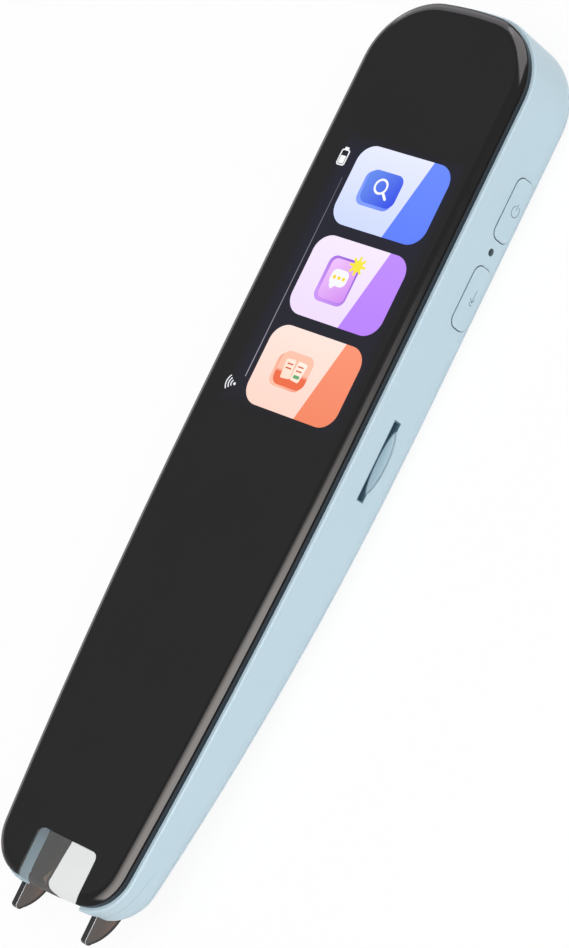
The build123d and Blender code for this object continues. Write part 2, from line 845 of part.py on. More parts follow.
def usb_port():
    """Rounded metal shell with a tongue, hung under the board's tail end."""
    port_z = board_z - port_height / 2
    mouth_y = tail_y - port_inset
    plane = Plane(origin=(0, mouth_y - port_length, port_z), x_dir=(-1, 0, 0), z_dir=(0, 1, 0))
    shell = extrude(plane * RectangleRounded(port_width, port_height, port_corner), port_length)
    bore_plane = plane.offset(port_wall * 2)
    bore = extrude(bore_plane * RectangleRounded(port_width - 2 * port_wall,
                                                 port_height - 2 * port_wall,
                                                 port_corner - port_wall), port_length)
    tongue = box((-tongue_width / 2, mouth_y - port_length + port_wall, port_z - tongue_height / 2),
                 (tongue_width / 2, mouth_y - port_length + tongue_length, port_z + tongue_height / 2))
    return shell - bore + tongue


def speaker():
    """Flat speaker facing the back."""
    y = tail_y - speaker_from_tail
    low = wall + gasket_thickness
    plan = Pos(0, y) * RectangleRounded(speaker_width, speaker_length, speaker_corner)
    block = Pos(0, 0, low) * extrude(plan, speaker_thickness)
    return block - rod_z(0, y, speaker_dome_radius, 0, low + speaker_dome_inset)


def speaker_gasket():
    """Soft ring between the speaker and the back."""
    y = tail_y - speaker_from_tail
    outer = RectangleRounded(speaker_width, speaker_length, speaker_corner)
    inner = RectangleRounded(speaker_width - 2 * gasket_width, speaker_length - 2 * gasket_width,
                             gasket_corner)
    return Pos(0, y, wall) * extrude(outer - inner, gasket_thickness)


nodes = {
    "front_glass": front_glass,
    "sight_window": sight_window,
    "glass_frame": glass_frame,
    "side_shell": side_shell,
    "rear_cover": rear_cover,
    "power_button": lambda: side_button(power_y),
    "return_button": lambda: side_button(return_y),
    "scan_foot": scan_foot,
    "foot_spring": foot_spring,
    "trigger_switch": trigger_switch,
    "display_panel": display_panel,
    "display_flex": display_flex,
    "chassis": chassis,
    "main_board": main_board,
    "board_parts": board_parts,
    "board_screws": board_screws,
    "shield_can": shield_can,
    "battery": battery,
    "battery_tape": battery_tape,
    "camera_module": camera_module,
    "camera_lens": camera_lens,
    "camera_flex": camera_flex,
    "light_board": light_board,
    "scan_lights": scan_lights,
    "power_switch": lambda: side_switch(power_y),
    "return_switch": lambda: side_switch(return_y),
    "side_board": side_board,
    "microphone": microphone,
    "mic_boot": mic_boot,
    "card_socket": card_socket,
    "usb_port": usb_port,
    "speaker": speaker,
    "speaker_gasket": speaker_gasket,
}

os.makedirs("parts", exist_ok=True)
for name, make in nodes.items():
    export_step(make(), "parts/" + name + ".step")
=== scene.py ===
"""Scanning pen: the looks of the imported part, its studio and its camera.

Sizes and places on the pen are in millimetres, in the part's own frame. MM turns them into metres.
"""
import json
import math

import bpy
from mathutils import Matrix, Vector


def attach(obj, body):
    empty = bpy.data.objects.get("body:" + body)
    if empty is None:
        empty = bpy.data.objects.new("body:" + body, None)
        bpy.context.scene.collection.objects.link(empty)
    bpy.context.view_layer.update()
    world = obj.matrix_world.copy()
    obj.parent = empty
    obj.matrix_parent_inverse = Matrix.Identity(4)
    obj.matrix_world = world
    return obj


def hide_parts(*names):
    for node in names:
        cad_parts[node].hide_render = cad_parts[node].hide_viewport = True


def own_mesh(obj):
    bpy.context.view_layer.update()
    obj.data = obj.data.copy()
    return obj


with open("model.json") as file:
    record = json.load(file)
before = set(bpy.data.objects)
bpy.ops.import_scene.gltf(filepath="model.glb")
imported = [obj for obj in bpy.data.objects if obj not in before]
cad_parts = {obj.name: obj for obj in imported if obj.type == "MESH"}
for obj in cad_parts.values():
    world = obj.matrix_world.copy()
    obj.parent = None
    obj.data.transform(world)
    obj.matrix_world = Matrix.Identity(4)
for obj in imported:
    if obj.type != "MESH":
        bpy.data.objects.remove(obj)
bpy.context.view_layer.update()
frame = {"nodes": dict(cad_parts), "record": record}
MM = 0.001

# Camera, from the fit to the photograph
camera_place = Vector((312.7, -49.45, 376.64)) * MM
camera_right = Vector((0.7157, 0.4346, -0.5468))
camera_down = Vector((0.2747, -0.8949, -0.3517))
camera_forward = Vector((-0.6422, 0.1015, -0.7598))
camera_sensor = 36
camera_lens = 132.91
camera_shift = -0.00084
camera_near = 0.01

# Meshes: how near points merge, how flat a seam dissolves and up to which angle edges are smoothed
merge_reach = 0.002
dissolve_angle = math.radians(0.05)
smooth_angle = math.radians(32)

# Cover glass and the notch for the sight window
body_top = 14.8
glass_under = 13.7
glass_edge = 14.1             # the rim's round starts here
glass_top = 14.77             # a hair below the body's top, which the picture reaches
rim_width = 1.5
rim_steps = 8
window_half = 5.95
window_lean = 0.61            # how far the window's walls lean sideways per unit of height
notch_middle = -68.35
notch_length = 20
notch_corner = 1.05
notch_past = 1                # how far the cutter runs past the glass's faces
notch_inside = (-65.6, -58)   # along the pen: the notch's own points, without its two ends
notch_ends = -60

# The feet's rounded edges, which start in front of this place along the pen
foot_edges = -63
foot_round = 0.09

# Places on the buttons' side, along the pen and up, and half sizes
power_middle = (45.7, 5.2)
power_sign_middle = (45.77, 4.85)
return_middle = (32.1, 5.2)
return_sign_middle = (32.23, 4.96)
button_half = (4.65, 1.9)
button_corner = 1.3
mic_middle = (39.1, 5.6)
mic_radius = 0.45
slot_middle = (6.0, 7.8)
slot_half = (6.1, 0.78)
slot_corner = 0.1
scoop_half = (5.2, 2.05)
sign_radius = 0.85
sign_sweep = 300
sign_steps = 12
sign_line = 0.065
seam_line = 0.02
nose_seam = [(-56.0, 9.5), (-58.6, 10.0), (-60.4, 10.38), (-61.8, 10.6), (-62.9, 10.62),
             (-64.4, 10.5), (-66.2, 10.2)]

# Edges of the drawn marks and of the painted shade: where each starts to show and where it shows in
# full
stroke_edge = 0.05            # width of a stroke's soft edge
side_from = (10.0, 10.1)      # out towards the buttons' side
# Painted shade: the walls of the button holes, the buttons' sunk sides and the gaps past their
# outlines
wall_from = (15.03, 14.97)    # walls of the button holes, below the shell's face
button_from = (15.08, 15.02)  # edges of the buttons, below their faces
gap_from = (0.24, 0.2)        # past a button's outline
# Painted shade in the scoop below the slot, and a painted shade line along the scoop's rim
scoop_below = (0.5, 0.6)      # below the slot's middle
scoop_from = (1.0, 0.9)       # share of the scoop's outline
scoop_rim = 0.97
scoop_rim_from = (0.03, 0.005)
# Painted shade in the card slot
slot_from = (0.03, -0.03)
# Painted shade in the mic hole
mic_from = (0.14, 0.08)
seam_from = (-56.0, -59.5)    # along the pen
frame_line = (13.45, 13.5)    # height of the black line under the glass
smoke_thin = (8.2, 4.8)       # height at which the feet turn brown and clearer

# How strongly the marks and the painted shade in the scoop show
seam_strength = 0.8
sign_strength = 0.85
scoop_shade_strength = 0.55
scoop_rim_shade_strength = 0.65

# Tones of the shell, its marks and the shade painted into its gaps and openings
shell_blue = (0.468, 0.6, 0.672)
# Dark blue of the printed signs and the nose seam, and of the shade painted into the buttons' gaps,
# onto their sunk sides and along the scoop's rim
mark_and_shade_blue = (0.045, 0.09, 0.12)
scoop_shade_blue = (0.22, 0.36, 0.45)
slot_shade_blue = (0.07, 0.14, 0.19)
hole_shade_black = (0.004, 0.008, 0.012)
frame_black = (0.001, 0.002, 0.003)
smoke_brown = (0.17, 0.1, 0.062)

# Specular levels: the flat glass stays dark under lamps that the rim and the frame mirror; its grey
# is a painted reflection in its colour instead
shell_shine = 0.25
rim_shine = 0.34
face_shine = 0.05
seal_shine = 0.08

# Waves of the surface noise for each metre
drift_waves = 60.0
grain_waves = 9000.0
gloss_waves = 350.0

# Picture on the cover glass: the underside and top of each layer
field_layer = (14.76, 14.774)
rule_layer = (14.765, 14.78)
tile_layer = (14.765, 14.784)
shade_layer = (14.771, 14.788)
icon_layer = (14.775, 14.792)
page_layer = (14.785, 14.796)
ray_layer = (14.785, 14.797)
glyph_layer = (14.785, 14.799)

field_middle = (1.0, 26.5)
field_size = (22.7, 42.7)
field_corner = 0.3
field_fade = ((11.35, 9.2), (21.35, 18.6))   # from the edge inwards, across and along
field_tones = ((0.025, 0.0245, 0.0335), (0.0235, 0.0235, 0.039))
field_edge = (0.0215, 0.0215, 0.0227)
tile_x = 2.1
tile_size = (17.15, 12.25)
tile_corner = 2.8
tile_slant = 0.229
tile_parting = (3.1, 3.17)    # from the tile's middle
tile_drift = 6.0
tile_places = {"blue": 40.5, "violet": 26.5, "orange": 12.5}
tile_tones = {                # left and right of the parting, two screen tones each
    "blue": ((208, 220, 255), (232, 236, 255), (108, 140, 255), (98, 130, 255)),
    "violet": ((240, 222, 255), (246, 234, 255), (192, 142, 255), (186, 132, 250)),
    "orange": ((255, 216, 202), (255, 230, 220), (250, 150, 118), (244, 138, 104)),
}
icon_x = -0.05
battery_place = (-9.0, 43.75)
signal_place = (-8.64, 8.18)
rule_place = (-7.45, 25.3)

# Studio, in metres. The rim's lamps overlap in front of one slanted plane, which ends for all of
# them at the same place along rim_run. The pairs give the first lamp's value and what each further
# lamp adds to it.
rim_place = Vector((0.164, -0.21, 0.471))
rim_run = Vector((0.859, 0, -0.511))
rim_facing = Vector((0.511, 0, 0.859))
rim_end = 0.4
rim_reach = (0.42, 0.12)      # width along rim_run
rim_length = (0.9, -0.07)
rim_tail = (0.31, -0.03)      # where the lamp ends on the tail's side
rim_lamps = 4
rim_stagger = 0.01
rim_radiance = 2.2
warm_white = (1, 0.94, 0.9)
pink_white = (1, 0.94, 0.96)
cool_pink = (1, 0.94, 1)
floor_size = 6
floor_drop = 0.00002
floor_white = 0.95
floor_glow = 0.9              # share of its own light that the floor shows
sky_level = 0.56
sky_seen = 0.44               # added where the camera sees the sky
sky_passed = 0.5              # added to what passes through clear plastic


# Selecting and shaping


def deselect():
    if bpy.context.object and bpy.context.object.mode != "OBJECT":
        bpy.ops.object.mode_set(mode="OBJECT")
    bpy.ops.object.select_all(action="DESELECT")


def pick(piece):
    deselect()
    piece.select_set(True)
    bpy.context.view_layer.objects.active = piece


def edit_all(piece):
    """Enters edit mode with everything selected."""
    pick(piece)
    bpy.ops.object.mode_set(mode="EDIT")
    bpy.ops.mesh.select_all(action="SELECT")


def shape_where(piece, kind, wanted):
    """Enters edit mode with only the wanted points, edges or faces selected."""
    pick(piece)
    bpy.ops.object.mode_set(mode="EDIT")
    bpy.ops.mesh.select_mode(type=kind)
    bpy.ops.mesh.select_all(action="DESELECT")
    leave_edit()
    mesh = piece.data
    for item in {"VERT": mesh.vertices, "EDGE": mesh.edges, "FACE": mesh.polygons}[kind]:
        item.select = wanted(item)
    bpy.ops.object.mode_set(mode="EDIT")


def leave_edit():
    bpy.ops.object.mode_set(mode="OBJECT")


def place_in_mesh(piece):
    """Puts the piece's place, turn and size into its mesh."""
    pick(piece)
    bpy.ops.object.transform_apply(location=True, rotation=True, scale=True)


def even_normals(piece):
    """Smooths the rounds and weighs the normals by face area, so that flat faces stay flat."""
    pick(piece)
    bpy.ops.object.shade_smooth_by_angle(angle=smooth_angle)
    weigh = piece.modifiers.new("even", "WEIGHTED_NORMAL")
    weigh.keep_sharp = True
    bpy.ops.object.modifier_apply(modifier=weigh.name)


def ends_of(piece, edge):
    return (piece.data.vertices[i].co for i in edge.vertices)


def copy_of_node(node, name):
    """A merged copy of a CAD node, to be shaped further."""
    source = frame["nodes"][node]
    piece = bpy.data.objects.new(name, source.data.copy())
    bpy.context.scene.collection.objects.link(piece)
    piece.data.materials.clear()
    pick(piece)
    if piece.data.has_custom_normals:
        bpy.ops.mesh.customdata_custom_splitnormals_clear()
    edit_all(piece)
    bpy.ops.mesh.remove_doubles(threshold=merge_reach * MM)
    bpy.ops.mesh.dissolve_limited(angle_limit=dissolve_angle)
    leave_edit()
    return piece


def plate(name, x, y, layer, width, length, corner, segments=8, turn=0):
    """Flat plate with rounded corners, turned clockwise about its own centre."""
    low, high = layer
    deselect()
    centre = Vector((x, y, (low + high) / 2)) * MM
    bpy.ops.mesh.primitive_cube_add(size=1, location=centre)
    piece = bpy.context.object
    piece.name = name
    piece.scale = Vector((width, length, high - low)) * MM
    place_in_mesh(piece)

    def upright(edge):
        a, b = ends_of(piece, edge)
        return abs(a.z - b.z) > (high - low) * MM / 2

    shape_where(piece, "EDGE", upright)
    bpy.ops.mesh.bevel(offset=corner * MM, segments=segments, affect="EDGES")
    leave_edit()
    if turn:
        edit_all(piece)
        bpy.ops.transform.rotate(value=math.radians(-turn), orient_axis="Z",
                                 center_override=(x * MM, y * MM, 0))
        leave_edit()
    return piece


def cut_away(piece, cutter):
    pick(piece)
    cut = piece.modifiers.new("cut", "BOOLEAN")
    cut.object = cutter
    cut.operation = "DIFFERENCE"
    cut.solver = "EXACT"
    bpy.ops.object.modifier_apply(modifier=cut.name)
    bpy.data.objects.remove(cutter)
    return piece


def joined(name, pieces):
    deselect()
    for piece in pieces:
        piece.select_set(True)
    bpy.context.view_layer.objects.active = pieces[0]
    bpy.ops.object.join()
    pieces[0].name = name
    return pieces[0]


def finish_piece(piece, material, body="housing"):
    piece.data.materials.clear()
    piece.data.materials.append(material)
    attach(piece, body)
    return piece


# Shader nodes


def add_math(tree, operation, first, second=None, clamp=False):
    node = tree.nodes.new("ShaderNodeMath")
    node.operation = operation
    node.use_clamp = clamp
    for socket, value in zip(node.inputs, (first, second)):
        if value is None:
            continue
        if isinstance(value, (int, float)):
            socket.default_value = value
        else:
            tree.links.new(value, socket)
    return node.outputs[0]


def vector_math(tree, operation, first, second=None):
    """Result of a vector operation: a number where the operation gives one, else a vector."""
    node = tree.nodes.new("ShaderNodeVectorMath")
    node.operation = operation
    tree.links.new(first, node.inputs[0])
    socket = node.inputs[3 if operation == "SCALE" else 1]
    if isinstance(second, (int, float, tuple)):
        socket.default_value = second
    elif second is not None:
        tree.links.new(second, socket)
    return node.outputs[1 if operation in ("DOT_PRODUCT", "DISTANCE", "LENGTH") else 0]


def axis_of(tree, vector, axis):
    """One of a vector's coordinates: 0, 1 or 2."""
    split = tree.nodes.new("ShaderNodeSeparateXYZ")
    tree.links.new(vector, split.inputs[0])
    return split.outputs[axis]


def mix_colour(tree, factor, first, second, blend="MIX"):
    node = tree.nodes.new("ShaderNodeMix")
    node.data_type = "RGBA"
    node.blend_type = blend
    for index, value in ((0, factor), (6, first), (7, second)):
        socket = node.inputs[index]
        if isinstance(value, (int, float)):
            socket.default_value = value
        elif isinstance(value, tuple):
            socket.default_value = value + (1.0,) * (4 - len(value))
        else:
            tree.links.new(value, socket)
    return node.outputs[2]


def ramp(tree, value, low, high):
    """0 at low and before it, 1 at high and beyond it, straight between them."""
    node = tree.nodes.new("ShaderNodeMapRange")
    node.inputs["From Min"].default_value = low
    node.inputs["From Max"].default_value = high
    tree.links.new(value, node.inputs["Value"])
    return node.outputs["Result"]


def noise(tree, place, waves, detail=2.0, roughness=0.5):
    node = tree.nodes.new("ShaderNodeTexNoise")
    node.inputs["Scale"].default_value = waves
    node.inputs["Detail"].default_value = detail
    node.inputs["Roughness"].default_value = roughness
    tree.links.new(place, node.inputs["Vector"])
    return node.outputs["Fac"]


def uneven_gloss(tree, place, low, spread):
    drift = noise(tree, place, gloss_waves, 4.0)
    return add_math(tree, "ADD", add_math(tree, "MULTIPLY", drift, spread), low)


# Shader groups that more than one finish uses


def new_group(name, inputs, outputs):
    tree = bpy.data.node_groups.new(name, "ShaderNodeTree")
    for label, kind, value in inputs:
        socket = tree.interface.new_socket(label, in_out="INPUT", socket_type=kind)
        socket.default_value = value
    for label, kind in outputs:
        tree.interface.new_socket(label, in_out="OUTPUT", socket_type=kind)
    return tree, tree.nodes.new("NodeGroupInput").outputs, tree.nodes.new("NodeGroupOutput").inputs


def make_moulded_group():
    """Moulded surface: slow drift of tone, fine grain, uneven gloss."""
    tree, given, result = new_group(
        "moulded_surface",
        [("Place", "NodeSocketVector", (0, 0, 0)),
         ("Colour", "NodeSocketColor", (0.5, 0.5, 0.5, 1)),
         ("Drift", "NodeSocketFloat", 0.04),
         ("Gloss Low", "NodeSocketFloat", 0.3),
         ("Gloss High", "NodeSocketFloat", 0.5)],
        [("Colour", "NodeSocketColor"), ("Roughness", "NodeSocketFloat"),
         ("Height", "NodeSocketFloat")])
    place = given["Place"]
    slow = noise(tree, place, drift_waves)
    fine = noise(tree, place, grain_waves, roughness=0.6)
    level = 1.0
    for wave in (slow, fine):
        away = add_math(tree, "SUBTRACT", wave, 0.5)
        level = add_math(tree, "ADD", add_math(tree, "MULTIPLY", away, given["Drift"]), level)
    combine = tree.nodes.new("ShaderNodeCombineColor")
    for socket in combine.inputs[:3]:
        tree.links.new(level, socket)
    colour = mix_colour(tree, 1.0, given["Colour"], combine.outputs[0], "MULTIPLY")
    spread = add_math(tree, "SUBTRACT", given["Gloss High"], given["Gloss Low"])
    tree.links.new(colour, result["Colour"])
    tree.links.new(uneven_gloss(tree, place, given["Gloss Low"], spread), result["Roughness"])
    tree.links.new(fine, result["Height"])
    return tree


def make_stroke_group():
    """Mark of a straight stroke with round ends, for signs and fine seams."""
    tree, given, result = new_group(
        "stroke",
        [("Place", "NodeSocketVector", (0, 0, 0)), ("Start", "NodeSocketVector", (0, 0, 0)),
         ("End", "NodeSocketVector", (0, 0, 0)), ("Half Width", "NodeSocketFloat", 0.1)],
        [("Mask", "NodeSocketFloat")])
    offset = vector_math(tree, "SUBTRACT", given["Place"], given["Start"])
    run = vector_math(tree, "SUBTRACT", given["End"], given["Start"])
    share = add_math(tree, "DIVIDE", vector_math(tree, "DOT_PRODUCT", offset, run),
                     vector_math(tree, "DOT_PRODUCT", run, run), clamp=True)
    gap = vector_math(tree, "DISTANCE", offset, vector_math(tree, "SCALE", run, share))
    beyond = add_math(tree, "SUBTRACT", gap, given["Half Width"])
    edge = add_math(tree, "DIVIDE", beyond, stroke_edge)
    tree.links.new(add_math(tree, "SUBTRACT", 0.5, edge, clamp=True), result["Mask"])
    return tree


def make_outline_group():
    """Distance in millimetres from the edge of a rounded rectangle on the side, below 0 inside."""
    tree, given, result = new_group(
        "side_outline",
        [("Place", "NodeSocketVector", (0, 0, 0)), ("Middle Y", "NodeSocketFloat", 0.0),
         ("Middle Z", "NodeSocketFloat", 0.0), ("Half Length", "NodeSocketFloat", 1.0),
         ("Half Height", "NodeSocketFloat", 1.0), ("Corner", "NodeSocketFloat", 0.5)],
        [("Distance", "NodeSocketFloat")])
    reach = []
    for axis, middle, half in ((1, "Middle Y", "Half Length"), (2, "Middle Z", "Half Height")):
        away = add_math(tree, "SUBTRACT", axis_of(tree, given["Place"], axis), given[middle])
        inner = add_math(tree, "SUBTRACT", given[half], given["Corner"])
        reach.append(add_math(tree, "SUBTRACT", add_math(tree, "ABSOLUTE", away), inner))
    outer = [add_math(tree, "MAXIMUM", value, 0.0) for value in reach]
    squares = [add_math(tree, "MULTIPLY", value, value) for value in outer]
    length = add_math(tree, "SQRT", add_math(tree, "ADD", *squares))
    inside = add_math(tree, "MINIMUM", add_math(tree, "MAXIMUM", *reach), 0.0)
    total = add_math(tree, "ADD", length, inside)
    tree.links.new(add_math(tree, "SUBTRACT", total, given["Corner"]), result["Distance"])
    return tree


moulded_group = make_moulded_group()
stroke_group = make_stroke_group()
outline_group = make_outline_group()


# Finishes


def start_material(name):
    material = bpy.data.materials.new(name)
    material.use_nodes = True
    tree = material.node_tree
    tree.nodes.clear()
    shader = tree.nodes.new("ShaderNodeBsdfPrincipled")
    output = tree.nodes.new("ShaderNodeOutputMaterial")
    tree.links.new(shader.outputs["BSDF"], output.inputs["Surface"])
    place = tree.nodes.new("ShaderNodeTexCoord").outputs["Object"]
    return material, tree, shader, place


def shader_of(material):
    return material.node_tree.nodes["Principled BSDF"]


def moulded(name, colour, drift=0.05, gloss=(0.35, 0.5), bump=0.000008, metallic=0.0, ior=1.5):
    """Plain moulded or plated finish with its own tone, gloss and grain."""
    material, tree, shader, place = start_material(name)
    surface = tree.nodes.new("ShaderNodeGroup")
    surface.node_tree = moulded_group
    surface.inputs["Colour"].default_value = colour + (1.0,)
    surface.inputs["Drift"].default_value = drift
    surface.inputs["Gloss Low"].default_value = gloss[0]
    surface.inputs["Gloss High"].default_value = gloss[1]
    tree.links.new(place, surface.inputs["Place"])
    tree.links.new(surface.outputs["Colour"], shader.inputs["Base Color"])
    tree.links.new(surface.outputs["Roughness"], shader.inputs["Roughness"])
    shader.inputs["Metallic"].default_value = metallic
    shader.inputs["IOR"].default_value = ior
    grain = tree.nodes.new("ShaderNodeBump")
    grain.inputs["Strength"].default_value = 0.5
    grain.inputs["Distance"].default_value = bump
    tree.links.new(surface.outputs["Height"], grain.inputs["Height"])
    tree.links.new(grain.outputs["Normal"], shader.inputs["Normal"])
    return material


def see_through(name, colour):
    """Clear or smoky plastic that light passes through."""
    material = moulded(name, colour, 0.03, (0.01, 0.05), 0.000001, ior=1.49)
    shader_of(material).inputs["Transmission Weight"].default_value = 1.0
    return material


def in_millimetres(tree, place):
    return vector_math(tree, "SCALE", place, 1000.0)


def place_on(material):
    """Place on the pen in millimetres, for the marks in a finish."""
    tree = material.node_tree
    return in_millimetres(tree, tree.nodes["Texture Coordinate"].outputs["Object"])


def on_side(tree, place):
    """Place on the pen's side: along the pen and up."""
    return vector_math(tree, "MULTIPLY", place, (0, 1, 1))


def stroke(tree, flat, start, end, half):
    node = tree.nodes.new("ShaderNodeGroup")
    node.node_tree = stroke_group
    tree.links.new(flat, node.inputs["Place"])
    node.inputs["Start"].default_value = (0, *start)
    node.inputs["End"].default_value = (0, *end)
    node.inputs["Half Width"].default_value = half
    return node.outputs["Mask"]


def strokes(tree, flat, points, half):
    """One mark of strokes from point to point."""
    mask = stroke(tree, flat, points[0], points[1], half)
    for start, end in zip(points[1:], points[2:]):
        mask = add_math(tree, "MAXIMUM", mask, stroke(tree, flat, start, end, half))
    return mask


def outline_distance(tree, flat, middle, half, corner):
    node = tree.nodes.new("ShaderNodeGroup")
    node.node_tree = outline_group
    tree.links.new(flat, node.inputs["Place"])
    for label, value in zip(("Middle Y", "Middle Z", "Half Length", "Half Height", "Corner"),
                            (*middle, *half, corner)):
        node.inputs[label].default_value = value
    return node.outputs["Distance"]


def shade_with(material, mask, tone):
    """Mixes another tone into a moulded finish where the mask says."""
    tree = material.node_tree
    socket = shader_of(material).inputs["Base Color"]
    tree.links.new(mix_colour(tree, mask, socket.links[0].from_socket, tone), socket)


def power_sign(tree, flat, middle):
    """Open ring with a bar in its gap."""
    y, z = middle
    points = []
    for step in range(sign_steps + 1):
        angle = math.radians(180 - sign_sweep / 2 + sign_sweep * step / sign_steps)
        points.append((y + sign_radius * math.cos(angle), z + sign_radius * math.sin(angle)))
    ring = strokes(tree, flat, points, sign_line)
    bar = stroke(tree, flat, (y + 0.25, z), (y + 1.1, z), sign_line)
    return add_math(tree, "MAXIMUM", ring, bar)


def return_sign(tree, flat, middle):
    """Arrow with a hook at its head."""
    y, z = middle
    line = strokes(tree, flat, [(y + 1.25, z - 0.1), (y + 0.2, z - 0.1), (y - 0.55, z - 0.05)],
                   sign_line)
    head = strokes(tree, flat, [(y - 0.1, z + 0.5), (y - 0.6, z - 0.05), (y - 0.1, z - 0.5)],
                   sign_line)
    hook = strokes(tree, flat, [(y - 0.75, z + 0.35), (y - 1.05, z - 0.05), (y - 0.95, z - 0.3)],
                   sign_line)
    return add_math(tree, "MAXIMUM", line, add_math(tree, "MAXIMUM", head, hook))


def shell_base(name):
    material = moulded(name, shell_blue, 0.03, (0.45, 0.55))
    shader = shader_of(material)
    shader.inputs["Specular IOR Level"].default_value = shell_shine
    shader.inputs["Sheen Weight"].default_value = 0.3
    shader.inputs["Sheen Roughness"].default_value = 0.35
    return material


def shell_finish():
    """Light blue shell, with its seam near the nose drawn in and shade painted into its openings:
    the buttons' gaps, the scoop, the card slot and the mic hole.
    """
    material = shell_base("blue_shell")
    tree = material.node_tree
    place = place_on(material)
    out, along, up = (axis_of(tree, place, axis) for axis in range(3))
    flat = on_side(tree, place)
    here = ramp(tree, out, *side_from)

    def shade(mask, tone, *others):
        """Paints shade where the mask marks, on the buttons' side alone."""
        for other in (here, *others):
            mask = add_math(tree, "MULTIPLY", mask, other)
        shade_with(material, mask, tone)

    seam = strokes(tree, flat, nose_seam, seam_line)
    seam = add_math(tree, "MULTIPLY", seam, ramp(tree, along, *seam_from))
    shade_with(material, add_math(tree, "MULTIPLY", seam, seam_strength), mark_and_shade_blue)

    # Painted shade on the walls of the button holes, just past each button's outline
    deep = ramp(tree, out, *wall_from)
    for middle in (power_middle, return_middle):
        button = outline_distance(tree, flat, middle, button_half, button_corner)
        shade(ramp(tree, button, *gap_from), mark_and_shade_blue, deep)

    centred = vector_math(tree, "SUBTRACT", flat, (0, *slot_middle))
    reach = vector_math(tree, "LENGTH", vector_math(tree, "DIVIDE", centred, (1, *scoop_half)))
    below = ramp(tree, up, *(slot_middle[1] - drop for drop in scoop_below))
    rim = add_math(tree, "ABSOLUTE", add_math(tree, "SUBTRACT", reach, scoop_rim))
    # Painted shade inside the scoop below the slot, and a painted shade line along its rim
    shade(ramp(tree, reach, *scoop_from), scoop_shade_blue, below, scoop_shade_strength)
    shade(ramp(tree, rim, *scoop_rim_from), mark_and_shade_blue, below, scoop_rim_shade_strength)

    # Painted shade inside the card slot
    slot = outline_distance(tree, flat, slot_middle, slot_half, slot_corner)
    shade(ramp(tree, slot, *slot_from), slot_shade_blue)
    # Painted shade inside the mic hole
    hole = outline_distance(tree, flat, mic_middle, (mic_radius, mic_radius), mic_radius)
    shade(ramp(tree, hole, *mic_from), hole_shade_black)
    return material


def button_finish(name, middle, sign):
    """The shell's finish with a sign on the button's face, and shade painted on the button's sides
    below its face.
    """
    material = shell_base(name)
    tree = material.node_tree
    place = place_on(material)
    mark = sign(tree, on_side(tree, place), middle)
    shade_with(material, add_math(tree, "MULTIPLY", mark, sign_strength), mark_and_shade_blue)
    # Painted shade on the button's sides, sunk in the hole
    shade_with(material, ramp(tree, axis_of(tree, place, 0), *button_from), mark_and_shade_blue)
    return material


def shaded_by_height(material, heights, tone):
    """Passes into another tone between two heights."""
    height = axis_of(material.node_tree, place_on(material), 2)
    shade_with(material, ramp(material.node_tree, height, *heights), tone)
    return material


finishes = {
    "blue_shell": shell_finish(),
    "power_blue": button_finish("power_blue", power_sign_middle, power_sign),
    "return_blue": button_finish("return_blue", return_sign_middle, return_sign),
    "clear_window": see_through("clear_window", (0.83, 0.84, 0.84)),
    "smoke_plastic": shaded_by_height(see_through("smoke_plastic", (0.075, 0.058, 0.052)),
                                      smoke_thin, smoke_brown),
}
for name, *values in (
        ("black_glass", (0.004, 0.004, 0.0045), 0.1, (0.1, 0.15), 0.0000003),
        # The glass face's grey is a painted reflection: its colour stands in for the sky it would
        # mirror
        ("glass_face", (0.023, 0.023, 0.024), 0.1, (0.1, 0.15), 0.0000003),
        ("seal_black", (0.002, 0.002, 0.0025), 0.1, (0.5, 0.7), 0.000002),
        ("dark_frame", (0.008, 0.017, 0.028), 0.1, (0.2, 0.3), 0.000001),
        # Painted shade: opaque near-black for the feet's faces that the smoky plastic shows dark
        # edge-on
        ("smoke_edge", (0.022, 0.021, 0.024), 0.1, (0.12, 0.2), 0.000001),
        # Painted highlight: a pale, opaque finish for the feet's rounded edges
        ("pale_edge", (0.75, 0.78, 0.8), 0.05, (0.2, 0.3), 0.000001),
        ("black_plastic", (0.012, 0.012, 0.014), 0.2, (0.45, 0.6), 0.00002),
        ("display", (0.02, 0.02, 0.04), 0.1, (0.1, 0.2)),
        ("flex_amber", (0.26, 0.10, 0.014), 0.2, (0.3, 0.45)),
        ("board_green", (0.01, 0.055, 0.022), 0.3, (0.3, 0.45)),
        ("chip_black", (0.018, 0.018, 0.018), 0.2, (0.5, 0.65), 0.00002),
        ("steel", (0.55, 0.55, 0.57), 0.1, (0.25, 0.4), 0.000004, 1.0),
        ("cell_foil", (0.6, 0.61, 0.63), 0.1, (0.3, 0.5), 0.00002, 1.0),
        ("tape_white", (0.68, 0.68, 0.64), 0.15, (0.7, 0.9), 0.00003),
        ("lens_glass", (0.01, 0.008, 0.02), 0.2, (0.03, 0.08), 0.0000005),
        ("light_white", (0.82, 0.78, 0.6), 0.05, (0.2, 0.35)),
        ("rubber_black", (0.02, 0.02, 0.02), 0.2, (0.7, 0.85), 0.00003)):
    finishes[name] = moulded(name, *values)
shaded_by_height(finishes["dark_frame"], frame_line, frame_black)
for name, shine in (("black_glass", rim_shine), ("dark_frame", rim_shine),
                    ("glass_face", face_shine), ("seal_black", seal_shine)):
    shader_of(finishes[name]).inputs["Specular IOR Level"].default_value = shine

for part in frame["record"]["subparts"]:
    mesh = frame["nodes"][part["node"]].data
    mesh.materials.clear()
    mesh.materials.append(finishes[part["material_slot"]])
for node, finish in (("power_button", "power_blue"), ("return_button", "return_blue")):
    frame["nodes"][node].data.materials[0] = finishes[finish]


# Cover glass, window, feet and spring: merged copies of the solids, refined


